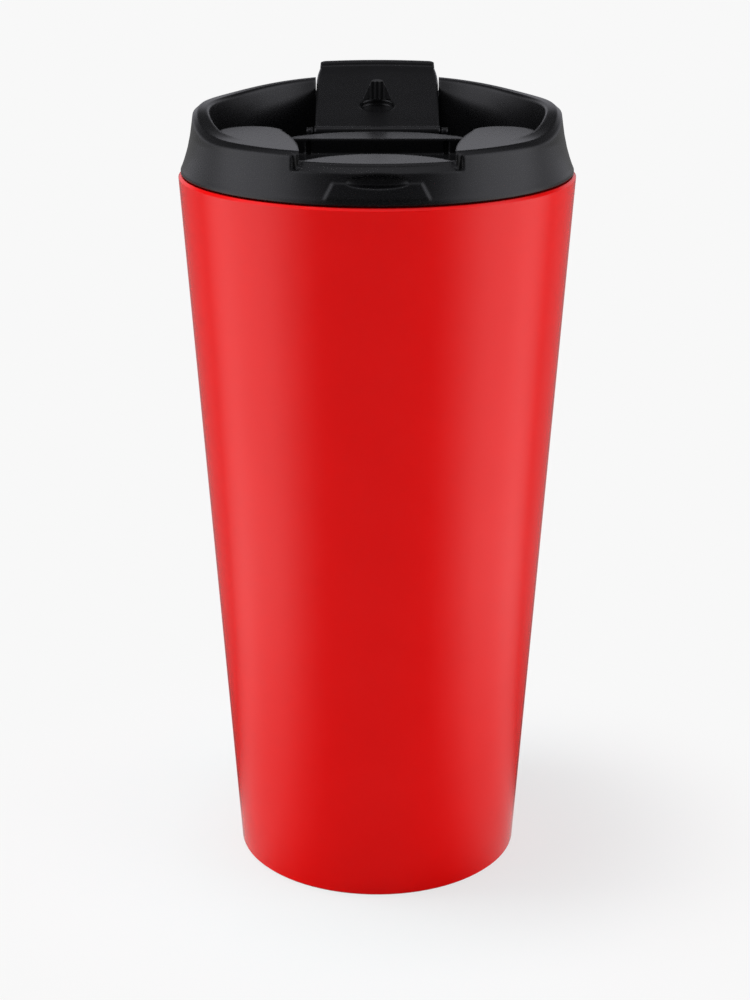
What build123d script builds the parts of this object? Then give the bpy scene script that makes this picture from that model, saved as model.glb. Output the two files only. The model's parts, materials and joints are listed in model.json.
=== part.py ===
from build123d import *
import os
from math import cos, radians, sin, sqrt

os.makedirs("parts", exist_ok=True)

# Insulated travel mug, in millimetres.  Z is up from the surface the mug stands on, the Z axis is the
# mug's axis, and the drinking side faces -Y.  The flap stands open, as it is used for drinking.

# Double-wall steel body
mouth_radius = 42.0
base_radius = 31.6
body_height = 155.4
steel = 0.8
wall_gap = 2.4
base_chamfer = 0.35
mouth_chamfer = 0.55
foot_width = 5.5
liner_floor = 8.0
liner_chamfer = 5.0
plate_overlap = 3.0
plate_gap = 0.3

# Lid collar, the upper moulding: heights are above its underside, insets are each from the one before
lid_gap = 0.25
bead_inset = 0.55
bead_edge = 0.25
bead_height = 0.7
skirt_foot_inset = 0.4
skirt_foot = 1.6
skirt_waist_inset = 1.15
skirt_waist = 5.15
skirt_neck_inset = 0.6
skirt_neck = 7.8
skirt_top_inset = 1.2
skirt_top = 15.8
rim_chamfer = 1.0
rim_inner_chamfer = 0.4
rim_edge_band = 0.3
front_rim = 9.75
side_rim = 12.75
back_rim = 13.5
rear_rim = 15.4
rim_front_y = -23.0
rim_side_y = -4.0
rim_back_y = 20.0
deck = 2.35
basin_radius = 33.5
basin_top_radius = 35.7
pad = 9.75
shelf = 7.75
well_floor = 4.55

# Plan of the drinking side
pad_blend_radius = 37.0
slot_front_half = 15.3
slot_front_y = -34.0
slot_mid_half = 17.2
slot_mid_y = -18.8
slot_rear_half = 19.6
slot_rear_y = -9.5
pad_crown_x = 27.0
pad_crown_y = -3.6
pad_side_x = 32.2
pad_side_y = -11.5
pad_heel_y = -13.0
strip_front_y = -7.5
strip_end_half = 17.3
strip_end_y = -4.4
strip_crown_y = 2.5
shelf_radius = 38.2
shelf_arc_radius = 17.0
shelf_rear_y = -26.0
shelf_edge = 0.4
lip_slot_foot = 7.25
lip_slot_slope = 0.82
rabbet_foot = 6.15
rabbet_width = 1.3
rabbet_radius = 38.75
notch_width = 1.0
notch_depth = 1.0
notch_inset = 2.9
notch_cover = 0.5

# Thumb recess and raised panel on the front of the skirt
thumb_half_width = 6.6
thumb_half_height = 1.35
thumb_depth = 1.6
thumb_y = -40.15
thumb_rise = 4.7
panel_top_half = 8.7
panel_foot_half = 10.3
panel_top = 4.3
panel_foot = 1.3
panel_rise = 0.35

# Lid plug and seal
plug_depth = 11.65
plug_clearance = 1.1
plug_wall = 3.1
plug_floor = 1.8
plug_chamfer = 1.0
seal_height = 4.0
seal_drop = 4.5
seal_depth = 1.3
seal_fit = 0.05
seal_clearance = 0.1
seal_waist = 0.3
tube_wall = 1.6

# Flap, hinged behind the drinking side
hinge_y = 4.5
hinge_rise = 7.25
open_tilt = 13.0
barrel_radius = 1.25
stub_radius = 0.5
stub_clearance = 0.08
stub_end_gap = 0.4
lug_gap = 0.3
lug_width = 1.4
lug_radius = 0.95
flap_gap = 0.3
flap_root_half = 13.3
flap_tip_half = 13.7
flap_end_half = 12.7
flap_heel = 1.0
flap_taper = 32.0
flap_corner = 1.4
flap_end_radius = 100.0
flap_edge_round = 0.35
lip_clearance = 0.3
lip_thickness = 1.0
lip_drop = 0.45
lip_blend = 0.6
lip_zone = 2.6
rest_gap = 0.3
rest_side_gap = 0.15

# Dish and stopper under the flap, and the openings in the well
dish_reach = 17.5
dish_radius = 3.75
dish_depth = 1.2
stopper_reach = 21.3
stopper_radius = 3.1
stopper_tip_radius = 1.3
stopper_height = 4.1
stopper_ribs = 4
rib_pitch = 1.0
rib_width = 0.45
rib_height = 0.3
port_radius = 2.3
port_reach = 22.0
vent_radius = 0.9
vent_x = 9.5

# Levels and radii that follow from the sizes above
collar_base = body_height + lid_gap
deck_z = collar_base + deck
pad_z = collar_base + pad
shelf_z = collar_base + shelf
well_z = collar_base + well_floor
plug_base = collar_base - plug_depth
bead_radius = mouth_radius - bead_inset
skirt_foot_radius = bead_radius - skirt_foot_inset
skirt_waist_radius = skirt_foot_radius - skirt_waist_inset
skirt_neck_radius = skirt_waist_radius - skirt_neck_inset
skirt_top_radius = skirt_neck_radius - skirt_top_inset
hinge_z = collar_base + hinge_rise
above_all = collar_base + skirt_top + 5
beyond_all = mouth_radius + 10


def shell_radius(z):
    """Outer radius of the tapered body at height z."""
    return base_radius + (mouth_radius - base_radius) * z / body_height


def liner_radius(z):
    """Inner radius of the liner at height z."""
    return shell_radius(z) - 2 * steel - wall_gap


# Outer shell: a straight taper, turned in under the foot and over at the mouth
foot_inner = base_radius - foot_width
with BuildPart() as outer_shell:
    with BuildSketch(Plane.XZ):
        with BuildLine():
            Polyline(
                (foot_inner, 0),
                (base_radius, 0),
                (mouth_radius, body_height),
                (liner_radius(body_height) + steel, body_height),
                (liner_radius(body_height - steel) + steel, body_height - steel),
                (shell_radius(body_height - steel) - steel, body_height - steel),
                (shell_radius(steel) - steel, steel),
                (foot_inner, steel),
                close=True,
            )
        face = make_face()
        chamfer(face.vertices().sort_by_distance((base_radius, 0))[0], base_chamfer)
        chamfer(face.vertices().sort_by_distance((mouth_radius, body_height))[0], mouth_chamfer)
    revolve(axis=Axis.Z)
outer_shell.part.label = "outer_shell"
export_step(outer_shell.part, "parts/outer_shell.step")

# Inner liner: a deep cup welded to the shell's mouth, with a sloping bottom edge
liner_base = liner_floor - steel
with BuildPart() as inner_liner:
    with BuildSketch(Plane.XZ):
        with BuildLine():
            Polyline(
                (0, liner_base),
                (liner_radius(liner_base) + steel, liner_base),
                (liner_radius(body_height) + steel, body_height),
                (liner_radius(body_height), body_height),
                (liner_radius(liner_floor), liner_floor),
                (0, liner_floor),
                close=True,
            )
        face = make_face()
        outer_corner = face.vertices().sort_by_distance((liner_radius(liner_base) + steel, liner_base))[0]
        chamfer(outer_corner, liner_chamfer)
        inner_corner = face.vertices().sort_by_distance((liner_radius(liner_floor), liner_floor))[0]
        chamfer(inner_corner, liner_chamfer)
    revolve(axis=Axis.Z)
inner_liner.part.label = "inner_liner"
export_step(inner_liner.part, "parts/inner_liner.step")

# Base plate: a disc flush with the foot, whose stepped flange lies on the turned-in edge
plate_radius = foot_inner + plate_overlap
disc_radius = foot_inner - plate_gap
with BuildPart() as base_plate:
    with BuildSketch(Plane.XZ):
        with BuildLine():
            Polyline(
                (0, 0),
                (disc_radius, 0),
                (disc_radius, steel),
                (plate_radius, steel),
                (plate_radius, 2 * steel),
                (disc_radius - steel, 2 * steel),
                (disc_radius - steel, steel),
                (0, steel),
                close=True,
            )
        make_face()
    revolve(axis=Axis.Z)
base_plate.part.label = "base_plate"
export_step(base_plate.part, "parts/base_plate.step")

# Frames of the flap: open as it stands, and the radius its front end reaches from the hinge
flap_plane = Plane(
    origin=(0, hinge_y, hinge_z),
    x_dir=(1, 0, 0),
    z_dir=(0, -sin(radians(open_tilt)), cos(radians(open_tilt))),
)
flap_face = -(shelf - hinge_rise + flap_gap)
flap_back = -(pad - hinge_rise)
flap_reach = hinge_y + shelf_radius + lip_clearance + lip_thickness
port_y = hinge_y - port_reach


def skirt_section(rise):
    """Closed section of the collar's wall and deck, its outside moved out by rise."""
    with BuildSketch(Plane.XZ) as section:
        with BuildLine():
            bead = bead_radius + rise
            foot = (skirt_foot_radius + rise, collar_base + skirt_foot)
            waist = (skirt_waist_radius + rise, collar_base + skirt_waist)
            neck = (skirt_neck_radius + rise, collar_base + skirt_neck)
            ThreePointArc(foot, waist, neck)
            Polyline(
                neck,
                (skirt_top_radius + rise, collar_base + skirt_top),
                (basin_top_radius, collar_base + skirt_top),
                (basin_radius, deck_z),
                (0, deck_z),
                (0, collar_base),
                (bead - bead_edge, collar_base),
                (bead, collar_base + bead_edge),
                (bead, collar_base + bead_height),
                foot,
            )
        make_face()
    return section.sketch


def slot_edges(side):
    """The curved side of the gap between the pads; side is -1 or 1."""
    return ThreePointArc(
        (side * slot_front_half, slot_front_y),
        (side * slot_mid_half, slot_mid_y),
        (side * slot_rear_half, slot_rear_y),
    )


def slot_plan(rear_y):
    """Plan of the gap between the pads, open through the front, back to rear_y."""
    with BuildSketch() as plan:
        with BuildLine():
            for side in (-1, 1):
                slot_edges(side)
                Line((side * slot_front_half, -beyond_all), (side * slot_front_half, slot_front_y))
            Line((-slot_front_half, -beyond_all), (slot_front_half, -beyond_all))
            Polyline(
                (-slot_rear_half, slot_rear_y),
                (-slot_rear_half, rear_y),
                (slot_rear_half, rear_y),
                (slot_rear_half, slot_rear_y),
            )
        make_face()
    return plan.sketch


# Plan of the flap: x across it, y from the hinge axis to its front end
with BuildSketch() as flap_plan:
    with BuildLine():
        Line((-flap_root_half, -flap_heel), (flap_root_half, -flap_heel))
        for side in (-1, 1):
            Line((side * flap_root_half, -flap_heel), (side * flap_tip_half, flap_taper))
            TangentArc(
                (side * flap_tip_half, flap_taper),
                (side * flap_end_half, flap_reach),
                tangent=(0, 1),
            )
        Line((-flap_end_half, flap_reach), (flap_end_half, flap_reach))
    make_face()
    with Locations((0, flap_reach - flap_end_radius)):
        Circle(flap_end_radius, mode=Mode.INTERSECT)
    fillet(flap_plan.vertices().sort_by(Axis.Y)[-2:], flap_corner)

# Plan of the two pads and the strip that joins them behind the well
heel_x = sqrt(pad_blend_radius**2 - pad_heel_y**2)
with BuildSketch() as front_plan:
    with BuildLine():
        ThreePointArc((-heel_x, pad_heel_y), (0, -pad_blend_radius), (heel_x, pad_heel_y))
        for side in (-1, 1):
            Line((side * heel_x, pad_heel_y), (side * pad_side_x, pad_side_y))
            ThreePointArc(
                (side * pad_side_x, pad_side_y),
                (side * pad_crown_x, pad_crown_y),
                (side * slot_rear_half, slot_rear_y),
            )
            Line((side * slot_rear_half, slot_rear_y), (side * strip_end_half, strip_end_y))
        ThreePointArc((-strip_end_half, strip_end_y), (0, strip_crown_y), (strip_end_half, strip_end_y))
    make_face()

# Recess for the flap's lip, let into the front of the skirt with a sloping foot and a step at each side
with BuildPart() as lip_recess:
    with BuildSketch(Plane.XZ):
        with BuildLine():
            lip_foot_z = collar_base + lip_slot_foot
            Polyline(
                (shelf_radius - shelf_edge, above_all),
                (shelf_radius - shelf_edge, shelf_z),
                (shelf_radius, shelf_z - shelf_edge),
                (shelf_radius, lip_foot_z),
                (beyond_all, lip_foot_z - lip_slot_slope * (beyond_all - shelf_radius)),
                (beyond_all, above_all),
                close=True,
            )
        make_face()
    revolve(axis=Axis.Z)
    with BuildSketch():
        with Locations((0, -beyond_all / 2)):
            Rectangle(2 * slot_front_half, beyond_all)
    extrude(amount=above_all, mode=Mode.INTERSECT)
with BuildPart() as lip_rabbet:
    with BuildSketch(Plane.XY.offset(collar_base + rabbet_foot)):
        Circle(beyond_all)
        Circle(rabbet_radius, mode=Mode.SUBTRACT)
        rabbet_x = slot_front_half + rabbet_width / 2
        with Locations((-rabbet_x, -beyond_all / 2), (rabbet_x, -beyond_all / 2)):
            Rectangle(rabbet_width, beyond_all, mode=Mode.INTERSECT)
    extrude(amount=skirt_top)

# Raised panel under the thumb recess, following the skirt
with BuildPart() as skirt_panel:
    add(skirt_section(panel_rise))
    revolve(axis=Axis.Z)
    with BuildSketch(Plane.XZ):
        with BuildLine():
            Polyline(
                (-panel_foot_half, collar_base + panel_foot),
                (-panel_top_half, collar_base + panel_top),
                (panel_top_half, collar_base + panel_top),
                (panel_foot_half, collar_base + panel_foot),
                close=True,
            )
        make_face()
    extrude(amount=beyond_all, mode=Mode.INTERSECT)
    with BuildSketch():
        Circle(basin_radius)
    extrude(amount=above_all, mode=Mode.SUBTRACT)

with BuildPart() as thumb_recess:
    Sphere(1)
    scale(by=(thumb_half_width, thumb_depth, thumb_half_height))

def rim_edges(part, low_radius, high_radius):
    """Edges of part above the pads whose middle lies between two distances from the mug's axis."""
    found = []
    for edge in part.edges():
        middle = edge @ 0.5
        if low_radius < Vector(middle.X, middle.Y).length < high_radius and middle.Z > pad_z - rim_edge_band:
            found.append(edge)
    return found


# Lid collar: skirt, sloping rim, open basin behind, pads and strip in front round the drink well
with BuildPart() as lid_collar:
    add(skirt_section(0))
    revolve(axis=Axis.Z)
    with BuildSketch(Plane.XY.offset(collar_base + deck / 2)):
        add(front_plan.sketch)
    extrude(amount=pad - deck / 2)
    with BuildSketch(Plane.YZ):
        with BuildLine():
            front_z = collar_base + front_rim
            Spline(
                (rim_front_y, front_z),
                (rim_side_y, collar_base + side_rim),
                (rim_back_y, collar_base + back_rim),
                (mouth_radius, collar_base + rear_rim),
                tangents=((1, 0), (1, 0.04)),
            )
            Polyline(
                (mouth_radius, collar_base + rear_rim),
                (beyond_all, collar_base + rear_rim),
                (beyond_all, above_all),
                (-beyond_all, above_all),
                (-beyond_all, front_z),
                (rim_front_y, front_z),
            )
        make_face()
    extrude(amount=beyond_all, both=True, mode=Mode.SUBTRACT)
    chamfer(rim_edges(lid_collar, skirt_top_radius - rim_edge_band, beyond_all), rim_chamfer)
    chamfer(rim_edges(lid_collar, basin_radius, basin_top_radius), rim_inner_chamfer)
    with BuildSketch(Plane.XY.offset(shelf_z)):
        add(slot_plan(hinge_y))
    extrude(amount=skirt_top, mode=Mode.SUBTRACT)
    with BuildSketch(Plane.XY.offset(well_z)):
        add(slot_plan(hinge_y))
        with Locations((0, strip_front_y - beyond_all / 2)):
            Rectangle(2 * beyond_all, beyond_all, mode=Mode.INTERSECT)
        with Locations((0, shelf_rear_y - shelf_arc_radius)):
            Circle(shelf_arc_radius, mode=Mode.SUBTRACT)
        with Locations((0, slot_front_y - beyond_all / 2)):
            Rectangle(2 * beyond_all, beyond_all, mode=Mode.SUBTRACT)
    extrude(amount=skirt_top, mode=Mode.SUBTRACT)
    add(lip_recess.part, mode=Mode.SUBTRACT)
    add(lip_rabbet.part, mode=Mode.SUBTRACT)
    for side in (-1, 1):
        with BuildSketch(Plane.XY.offset(well_z)):
            with Locations((side * (slot_mid_half - notch_inset), strip_front_y)):
                Rectangle(notch_width, 2 * notch_depth)
        extrude(amount=shelf - well_floor - notch_cover, mode=Mode.SUBTRACT)
        lug_inner = flap_root_half + lug_gap
        lug_plane = Plane.YZ.offset(lug_inner if side > 0 else -lug_inner - lug_width)
        with BuildSketch(lug_plane):
            with Locations((hinge_y, hinge_z)):
                Circle(lug_radius)
            with Locations((hinge_y, (deck_z + hinge_z) / 2)):
                Rectangle(2 * lug_radius, hinge_z - deck_z)
            with Locations((hinge_y, hinge_z)):
                Circle(stub_radius + stub_clearance, mode=Mode.SUBTRACT)
        extrude(amount=lug_width)
    with BuildSketch(flap_plane.offset(flap_back - rest_gap)):
        add(offset(flap_plan.sketch, amount=rest_side_gap))
        with Locations((0, flap_reach)):
            Rectangle(4 * flap_tip_half, flap_reach, mode=Mode.INTERSECT)
    extrude(amount=skirt_top, mode=Mode.SUBTRACT)
    with BuildSketch(Plane.XY.offset(collar_base)):
        with Locations((0, port_y)):
            Circle(port_radius)
        with Locations((vent_x, port_y)):
            Circle(vent_radius)
    extrude(amount=pad, mode=Mode.SUBTRACT)
    add(skirt_panel.part)
    with Locations((0, thumb_y, collar_base + thumb_rise)):
        add(thumb_recess.part, mode=Mode.SUBTRACT)
lid_collar.part.label = "lid_collar"
export_step(lid_collar.part, "parts/lid_collar.step")

# Lid plug: the lower moulding that enters the mouth, with the drink tube and the air vent
plug_radius = liner_radius(plug_base) - plug_clearance
seal_base = collar_base - seal_drop - seal_height
groove_radius = plug_radius - seal_depth
with BuildPart() as lid_plug:
    with BuildSketch(Plane.XZ):
        with BuildLine():
            Polyline(
                (0, plug_base),
                (plug_radius - plug_chamfer, plug_base),
                (plug_radius, plug_base + plug_chamfer),
                (plug_radius, seal_base),
                (groove_radius, seal_base),
                (groove_radius, seal_base + seal_height),
                (plug_radius, seal_base + seal_height),
                (plug_radius, collar_base),
                (plug_radius - plug_wall, collar_base),
                (plug_radius - plug_wall, plug_base + plug_floor),
                (0, plug_base + plug_floor),
                close=True,
            )
        make_face()
    revolve(axis=Axis.Z)
    with BuildSketch(Plane.XY.offset(plug_base)):
        with Locations((0, port_y)):
            Circle(port_radius + tube_wall)
        with Locations((vent_x, port_y)):
            Circle(vent_radius + tube_wall)
    extrude(amount=plug_depth)
    with BuildSketch(Plane.XY.offset(plug_base)):
        with Locations((0, port_y)):
            Circle(port_radius)
        with Locations((vent_x, port_y)):
            Circle(vent_radius)
    extrude(amount=plug_depth, mode=Mode.SUBTRACT)
lid_plug.part.label = "lid_plug"
export_step(lid_plug.part, "parts/lid_plug.step")

# Seal: a soft waisted ring in the plug's groove, whose two edges wipe the liner
with BuildPart() as lid_seal:
    with BuildSketch(Plane.XZ):
        with BuildLine():
            low = seal_base + seal_fit
            high = seal_base + seal_height - seal_fit
            Polyline(
                (groove_radius + seal_fit, low),
                (liner_radius(low) - seal_clearance, low),
                (plug_radius + seal_waist, (low + high) / 2),
                (liner_radius(high) - seal_clearance, high),
                (groove_radius + seal_fit, high),
                close=True,
            )
        make_face()
    revolve(axis=Axis.Z)
lid_seal.part.label = "lid_seal"
export_step(lid_seal.part, "parts/lid_seal.step")

# Lip across the flap's end, sloping in to the plate
lip_top = hinge_rise - shelf + lip_drop
lip_centre = (0, flap_reach - flap_end_radius)
with BuildPart() as flap_lip:
    with BuildSketch(flap_plane.offset(flap_back)):
        add(flap_plan.sketch)
        with Locations((0, flap_reach)):
            Rectangle(4 * flap_tip_half, 2 * lip_zone, mode=Mode.INTERSECT)
    extrude(amount=lip_top - flap_back)
    with BuildSketch(flap_plane.offset(flap_face)):
        with Locations(lip_centre):
            Circle(flap_end_radius - lip_thickness - lip_blend)
    with BuildSketch(flap_plane.offset(lip_top)):
        with Locations(lip_centre):
            Circle(flap_end_radius - lip_thickness)
    loft(mode=Mode.SUBTRACT)

# Flap: a thin plate on its hinge barrel, with a lip across its end and a round dish before the stopper
with BuildPart() as flap:
    with BuildSketch(flap_plane.offset(flap_back)):
        add(flap_plan.sketch)
    extrude(amount=flap_face - flap_back)
    plate_face = flap.faces().sort_by(Axis(flap_plane.origin, flap_plane.z_dir))[-1]
    chamfer(plate_face.edges(), flap_edge_round)
    add(flap_lip.part)
    with BuildSketch(Plane.YZ.offset(-flap_root_half)):
        with Locations((hinge_y, hinge_z)):
            Circle(barrel_radius)
    extrude(amount=2 * flap_root_half)
    stub_half = flap_root_half + lug_gap + lug_width - stub_end_gap
    with BuildSketch(Plane.YZ.offset(-stub_half)):
        with Locations((hinge_y, hinge_z)):
            Circle(stub_radius)
    extrude(amount=2 * stub_half)
    with BuildSketch(flap_plane.offset(flap_face - dish_depth)):
        with Locations((0, dish_reach)):
            Circle(dish_radius)
    extrude(amount=dish_depth, mode=Mode.SUBTRACT)
flap.part.label = "flap"
export_step(flap.part, "parts/flap.step")

# Stopper: a soft half cone on the flap, whose flat ribbed side faces the hinge
stopper_foot = flap_plane.from_local_coords(Vector(0, stopper_reach, flap_face))
stopper_plane = Plane(origin=stopper_foot, x_dir=flap_plane.x_dir, z_dir=-flap_plane.y_dir)
with BuildPart() as stopper:
    with BuildSketch(stopper_plane):
        Polygon(
            (0, 0),
            (stopper_radius, 0),
            (stopper_tip_radius, stopper_height),
            (0, stopper_height),
            align=None,
        )
    revolve(axis=Axis(stopper_foot, flap_plane.z_dir), revolution_arc=180)
    with BuildSketch(stopper_plane):
        Polygon(
            (-stopper_radius, 0),
            (stopper_radius, 0),
            (stopper_tip_radius, stopper_height),
            (-stopper_tip_radius, stopper_height),
            align=None,
        )
        with GridLocations(rib_pitch, 0, stopper_ribs, 1):
            Rectangle(rib_width, 2 * stopper_height, mode=Mode.INTERSECT)
    extrude(amount=rib_height)
stopper.part.label = "stopper"
export_step(stopper.part, "parts/stopper.step")
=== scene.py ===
import json
import math
import bpy
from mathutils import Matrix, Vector


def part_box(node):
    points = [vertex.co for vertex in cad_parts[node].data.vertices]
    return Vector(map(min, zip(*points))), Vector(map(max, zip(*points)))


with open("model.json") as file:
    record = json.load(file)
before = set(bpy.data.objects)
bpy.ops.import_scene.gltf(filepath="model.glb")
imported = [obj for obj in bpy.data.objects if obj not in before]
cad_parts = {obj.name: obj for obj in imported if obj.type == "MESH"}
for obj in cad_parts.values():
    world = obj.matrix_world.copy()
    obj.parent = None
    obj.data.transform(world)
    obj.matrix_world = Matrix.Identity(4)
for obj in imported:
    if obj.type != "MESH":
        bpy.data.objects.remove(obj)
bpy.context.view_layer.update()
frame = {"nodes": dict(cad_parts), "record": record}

# Lengths are in metres. The mug stands on z = 0 with its axis on Z and its front towards -Y.
SHELL_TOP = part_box("outer_shell")[1][2]
MIDDLE = Vector((0, 0, SHELL_TOP / 2))

# Camera, in front of the mug and above its rim
CAMERA_DISTANCE = 0.4413
CAMERA_HEIGHT = 0.2331
CAMERA_PITCH = 18.93  # degrees below level
CAMERA_LENS = 75.26  # millimetres, as the sensor's width is
CAMERA_SENSOR = 36.0
CAMERA_SHIFT_X = -0.00226  # share of the picture's longer side

# Tones, here and below, are linear, where 1 is white.
WHITE = (1, 1, 1, 1)
BACKGROUND_TONE = 0.939
AMBIENT = 0.33

# Floor, with distances from the mug's axis: the camera sees it lit near the foot, under an even glow
FLOOR_HALF = 6.0
FLOOR_TONE = 0.90
FLOOR_ROUGHNESS = 0.9
FLOOR_GLOW = 0.72  # share of the glow near the foot; the lit floor with the mug's shadow is the rest
GLOW_DISTANCE = (0.05, 0.115)  # the glow's share rises to 1 between these
PLAIN_COLOUR = (FLOOR_TONE, FLOOR_TONE, FLOOR_TONE, 1)
PAINTED_BOUNCE_CANCEL_COLOUR = (0.75, FLOOR_TONE, FLOOR_TONE, 1)  # painted: short of red, to take out the red light off the body
PAINTED_BOUNCE_CANCEL_DISTANCE = (0.03, 0.115)  # the painted colour gives way to the plain one between these

# Floor in reflections: a painted glow with the tones of the room, and painted shade near the foot
PAINTED_FOOT_SHADE = 0.4
PAINTED_SHADE_DISTANCE = (0.03, 0.20)
FLOOR_REAR_TONE = 0.22

# Room in reflections. A cosine is measured round the mug from its front, and a height is how much of a
# direction points up. Each pair is where a tone's fade starts and ends.
ROOM_TINT = (1.0, 1.0, 1.08, 1)
DARK_TONE = 0.04
SIDE_TONE = 1.15
SIDE_COSINE = 0.15  # the middle of both bright sides
SIDE_SPREAD = (0.20, 0.78)  # to either side of it
SIDE_HEIGHT = (0.70, 0.95)
REAR_TONE = 0.45
REAR_COSINE = (-0.60, 0.20)
REAR_HEIGHT = (0.24, 0.46)
OVERHEAD_TONE = 0.44
OVERHEAD_HEIGHT = (0.82, 0.97)

# Lamps: each faces the mug's middle, and its strength is in watts per square metre
SOFTBOXES = {
    "left_softbox": dict(place=(-1.0, -0.22, 0.21), width=0.8, height=0.4, strength=16.0),
    "right_softbox": dict(place=(1.0, -0.22, 0.21), width=0.8, height=0.4, strength=19.0),
    "top_softbox": dict(place=(-0.27, 0.0, 1.25), width=0.3, height=0.6, strength=58.0),
}

# Look of the edges: the radius of their softening, and the rays that sample it
EDGE_RADIUS = 0.0002
MOULDED_EDGE_RADIUS = 0.0009
EDGE_SAMPLES = 12


class Nodes:
    """A node tree with helpers that add nodes. A value is a number, a colour or another node's output."""

    def __init__(self, tree):
        self.tree = tree

    def feed(self, socket, value):
        if isinstance(value, bpy.types.NodeSocket):
            self.tree.links.new(value, socket)
        else:
            socket.default_value = value

    def add(self, kind, *values, operation=None, **inputs):
        """A node of a kind, with values for its first inputs in order, and for others by name."""
        node = self.tree.nodes.new(kind)
        if operation:
            node.operation = operation
        for socket, value in zip(node.inputs, values):
            self.feed(socket, value)
        for name, value in inputs.items():
            self.feed(node.inputs[name.replace("_", " ")], value)
        return node

    def number(self, operation, *values):
        """The result of an operation on numbers."""
        return self.add("ShaderNodeMath", *values, operation=operation).outputs["Value"]

    def between(self, share, first, second):
        """A value between first and second, following a share from 0 to 1."""
        return self.add("ShaderNodeMapRange", share, 0.0, 1.0, first, second).outputs["Result"]

    def fade(self, value, ends, first, second):
        """A value that goes softly from first to second between two ends."""
        ramp = self.add("ShaderNodeMapRange", value, *ends, first, second)
        ramp.interpolation_type = "SMOOTHSTEP"
        return ramp.outputs["Result"]

    def mix(self, share, first, second):
        """A colour between two, following a share from 0 to 1."""
        return self.add("ShaderNodeMixRGB", share, first, second).outputs["Color"]

    def reflected(self, rays):
        """1 for a ray off a glossy surface or through a clear one, otherwise 0."""
        return self.number("MAXIMUM", rays["Is Glossy Ray"], rays["Is Transmission Ray"])


class Shader(Nodes):
    """A new node material, with helpers for its colour and relief."""

    def __init__(self, name):
        self.material = bpy.data.materials.new(name)
        self.material.use_nodes = True
        super().__init__(self.material.node_tree)
        self.surface = self.tree.nodes["Principled BSDF"]

    def set(self, **inputs):
        """Inputs of the Principled shader."""
        for name, value in inputs.items():
            self.feed(self.surface.inputs[name.replace("_", " ")], value)

    def grain(self, scale, detail=3.0, stretch=(1, 1, 1)):
        """Fine noise in object space, stretched along the axes."""
        place = self.add("ShaderNodeTexCoord").outputs["Object"]
        mapped = self.add("ShaderNodeMapping", Vector=place, Scale=stretch).outputs["Vector"]
        return self.add("ShaderNodeTexNoise", Vector=mapped, Scale=scale, Detail=detail).outputs["Fac"]

    def tones(self, value, dark, light):
        """A colour between dark and light, following the middle stretch of a value."""
        ramp = self.add("ShaderNodeValToRGB", Fac=value)
        ramp.color_ramp.elements[0].color = (*dark, 1)
        ramp.color_ramp.elements[0].position = 0.3
        ramp.color_ramp.elements[1].color = (*light, 1)
        ramp.color_ramp.elements[1].position = 0.7
        return ramp.outputs["Color"]

    def relief(self, height, strength, distance, edge=EDGE_RADIUS):
        """A bump normal from a height value, over edges softened to a radius."""
        soft = self.add("ShaderNodeBevel", Radius=edge)
        soft.samples = EDGE_SAMPLES
        bump = self.add("ShaderNodeBump", Height=height, Strength=strength, Distance=distance)
        self.feed(bump.inputs["Normal"], soft.outputs["Normal"])
        return bump.outputs["Normal"]


def red_paint():
    """Glossy enamel on the outer shell."""
    shader = Shader("red_paint")
    cloud = shader.grain(scale=60.0)
    shader.set(
        Base_Color=shader.tones(cloud, dark=(0.735, 0.0022, 0.0018), light=(0.755, 0.0030, 0.0026)),
        Roughness=shader.between(shader.grain(scale=900.0), 0.13, 0.17),
        Normal=shader.relief(shader.grain(scale=700.0), strength=0.04, distance=0.0002),
        Specular_IOR_Level=0.42,
    )
    return shader.material


def brushed_steel():
    """Bare steel, brushed round the mug's axis."""
    shader = Shader("brushed_steel")
    lines = shader.grain(scale=40.0, detail=4.0, stretch=(1, 1, 60))
    shader.set(
        Base_Color=shader.tones(lines, dark=(0.58, 0.58, 0.58), light=(0.70, 0.70, 0.70)),
        Roughness=shader.between(lines, 0.30, 0.44),
        Normal=shader.relief(lines, strength=0.06, distance=0.0001),
        Metallic=1.0,
    )
    return shader.material


def black_plastic():
    """Satin moulded plastic of the lid and its flap."""
    shader = Shader("black_plastic")
    cloud = shader.grain(scale=120.0)
    grain = shader.grain(scale=4000.0, detail=2.0)
    shader.set(
        Base_Color=shader.tones(cloud, dark=(0.0040, 0.0040, 0.0044), light=(0.0054, 0.0054, 0.0059)),
        Roughness=shader.between(shader.grain(scale=2500.0), 0.24, 0.30),
        Normal=shader.relief(grain, strength=0.03, distance=0.00006, edge=MOULDED_EDGE_RADIUS),
    )
    return shader.material


def black_silicone():
    """Dull rubber of the seal and the stopper."""
    shader = Shader("black_silicone")
    cloud = shader.grain(scale=150.0)
    shader.set(
        Base_Color=shader.tones(cloud, dark=(0.020, 0.020, 0.021), light=(0.030, 0.030, 0.031)),
        Roughness=shader.between(cloud, 0.55, 0.68),
    )
    return shader.material


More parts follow.
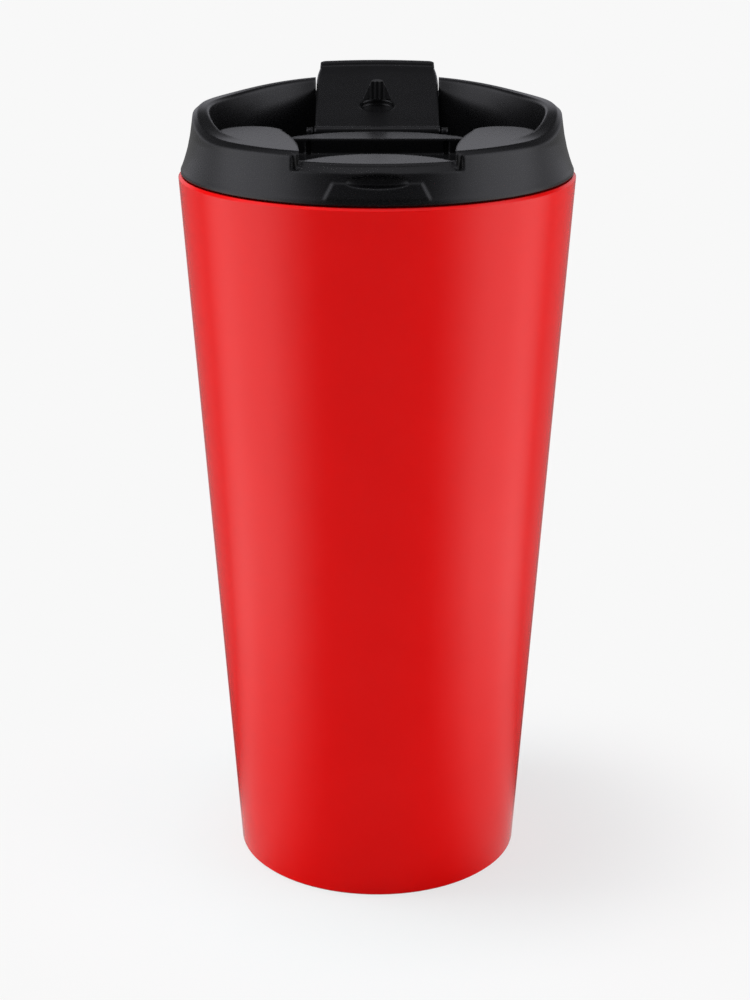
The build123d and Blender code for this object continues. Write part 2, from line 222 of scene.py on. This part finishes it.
def room_tone(nodes, direction, rear_tone):
    """The room's tone in a direction: bright at both sides, lower overhead and behind, dark in front."""
    height = nodes.add("ShaderNodeSeparateXYZ", direction).outputs["Z"]
    flat = nodes.add("ShaderNodeVectorMath", direction, (1, 1, 0), operation="MULTIPLY").outputs["Vector"]
    unit = nodes.add("ShaderNodeVectorMath", flat, operation="NORMALIZE").outputs["Vector"]
    cosine = nodes.add("ShaderNodeVectorMath", unit, (0, -1, 0), operation="DOT_PRODUCT").outputs["Value"]
    aside = nodes.number("ABSOLUTE", nodes.number("SUBTRACT", cosine, SIDE_COSINE))
    side = nodes.fade(aside, SIDE_SPREAD, nodes.fade(height, SIDE_HEIGHT, SIDE_TONE, 0.0), 0.0)
    rear = nodes.fade(cosine, REAR_COSINE, nodes.fade(height, REAR_HEIGHT, rear_tone, 0.0), 0.0)
    overhead = nodes.fade(height, OVERHEAD_HEIGHT, DARK_TONE, OVERHEAD_TONE)
    return nodes.number("MAXIMUM", nodes.number("MAXIMUM", side, rear), overhead)


def floor_material():
    """Lit where the mug's shadow falls, the background's tone further out, and in reflections a painted glow
    of the room's tones with painted shade near the foot.
    """
    shader = Shader("floor")
    place = shader.add("ShaderNodeTexCoord").outputs["Object"]
    rays = shader.add("ShaderNodeLightPath").outputs
    distance = shader.add("ShaderNodeVectorMath", place, operation="LENGTH").outputs["Value"]
    # Painted colour near the foot, short of red, takes out the red light off the body
    bounce_cancel_share = shader.fade(distance, PAINTED_BOUNCE_CANCEL_DISTANCE, 0.0, 1.0)
    shader.set(
        Base_Color=shader.mix(bounce_cancel_share, PAINTED_BOUNCE_CANCEL_COLOUR, PLAIN_COLOUR),
        Roughness=FLOOR_ROUGHNESS,
        Specular_IOR_Level=0.0,
    )
    # Painted shade near the foot and a painted glow of the room's tones, which only reflections see
    painted_shade = shader.fade(distance, PAINTED_SHADE_DISTANCE, PAINTED_FOOT_SHADE, 1.0)
    painted_reflection = shader.number("MULTIPLY", room_tone(shader, place, FLOOR_REAR_TONE), painted_shade)
    tone = shader.between(rays["Is Camera Ray"], painted_reflection, BACKGROUND_TONE)
    glow_share = shader.fade(distance, GLOW_DISTANCE, FLOOR_GLOW, 1.0)
    seen = shader.number("MULTIPLY", rays["Is Camera Ray"], glow_share)
    share = shader.number("MAXIMUM", seen, shader.reflected(rays))
    glow = shader.add("ShaderNodeEmission", Strength=tone)
    blend = shader.add("ShaderNodeMixShader", share, shader.surface.outputs[0], glow.outputs[0])
    shader.feed(shader.tree.nodes["Material Output"].inputs["Surface"], blend.outputs[0])
    return shader.material


def studio_floor():
    """A wide square under the mug."""
    mesh = bpy.data.meshes.new("floor")
    corners = [(x * FLOOR_HALF, y * FLOOR_HALF, 0) for x, y in ((-1, -1), (1, -1), (1, 1), (-1, 1))]
    mesh.from_pydata(corners, [], [(0, 1, 2, 3)])
    mesh.materials.append(floor_material())
    floor = bpy.data.objects.new("floor", mesh)
    bpy.context.scene.collection.objects.link(floor)


def studio_world():
    """The background's tone for the camera, the room for reflections, and an even light for the rest."""
    world = bpy.data.worlds.new("studio")
    bpy.context.scene.world = world
    world.use_nodes = True
    nodes = Nodes(world.node_tree)
    direction = nodes.add("ShaderNodeTexCoord").outputs["Generated"]
    rays = nodes.add("ShaderNodeLightPath").outputs
    unseen = nodes.between(nodes.reflected(rays), AMBIENT, room_tone(nodes, direction, REAR_TONE))
    background = nodes.tree.nodes["Background"]
    nodes.feed(background.inputs["Strength"], nodes.between(rays["Is Camera Ray"], unseen, BACKGROUND_TONE))
    nodes.feed(background.inputs["Color"], nodes.mix(rays["Is Camera Ray"], ROOM_TINT, WHITE))


def softbox(name, place, width, height, strength):
    """A rectangular lamp that faces the mug's middle and doesn't show in reflections."""
    lamp = bpy.data.lights.new(name, "AREA")
    lamp.shape = "RECTANGLE"
    lamp.size = width
    lamp.size_y = height
    lamp.energy = strength * width * height
    item = bpy.data.objects.new(name, lamp)
    bpy.context.scene.collection.objects.link(item)
    item.location = place
    item.rotation_euler = (MIDDLE - Vector(place)).to_track_quat("-Z", "Y").to_euler()
    item.visible_glossy = False


def camera():
    """The camera in front of the mug, looking slightly down on it."""
    data = bpy.data.cameras.new("camera")
    data.lens = CAMERA_LENS
    data.sensor_width = CAMERA_SENSOR
    data.shift_x = CAMERA_SHIFT_X
    item = bpy.data.objects.new("camera", data)
    bpy.context.scene.collection.objects.link(item)
    item.location = (0, -CAMERA_DISTANCE, CAMERA_HEIGHT)
    item.rotation_euler = (math.radians(90 - CAMERA_PITCH), 0, 0)
    bpy.context.scene.camera = item


FINISHES = {
    "red_shell": red_paint(),
    "steel": brushed_steel(),
    "black_plastic": black_plastic(),
    "black_silicone": black_silicone(),
}
for entry in frame["record"]["subparts"]:
    mesh = frame["nodes"][entry["node"]].data
    mesh.materials.clear()
    mesh.materials.append(FINISHES[entry["material_slot"]])

studio_floor()
studio_world()
for name, settings in SOFTBOXES.items():
    softbox(name, **settings)
camera()
bpy.context.scene.view_settings.view_transform = "Standard"
